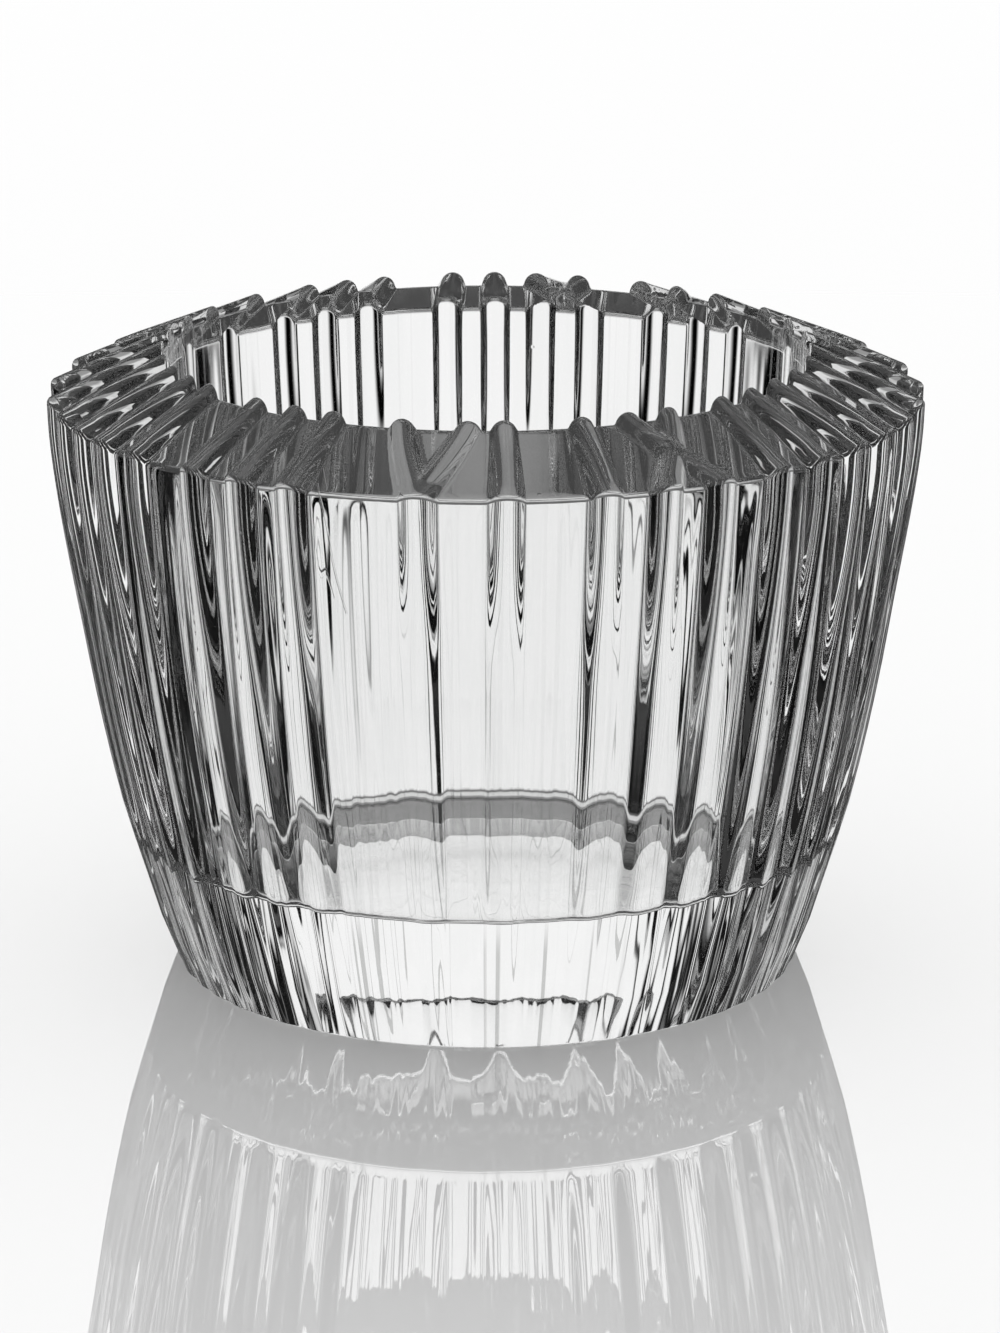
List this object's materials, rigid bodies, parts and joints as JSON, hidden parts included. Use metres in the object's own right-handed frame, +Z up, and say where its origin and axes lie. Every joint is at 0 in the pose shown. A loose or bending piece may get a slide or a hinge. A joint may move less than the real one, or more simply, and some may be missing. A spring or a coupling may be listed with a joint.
{
  "type": "glass votive holder",
  "caption": "Heavy clear glass cup for a votive candle, with a thick base, a bevelled rim and raised uneven ribs.",
  "frame": {"origin": "centre of the foot, on the surface the holder stands on", "axes": "+Z up along the axis of the cup, out of its mouth; -Y towards the side that shows two ribs meeting in a V; +X to the right of it"},
  "size_m": [0.0927, 0.0925, 0.0672],
  "materials": {
    "clear_glass": "fire-polished clear pressed glass"
  },
  "bodies": {
    "root": {"glass_body": "clear_glass"}
  },
  "joints": []
}
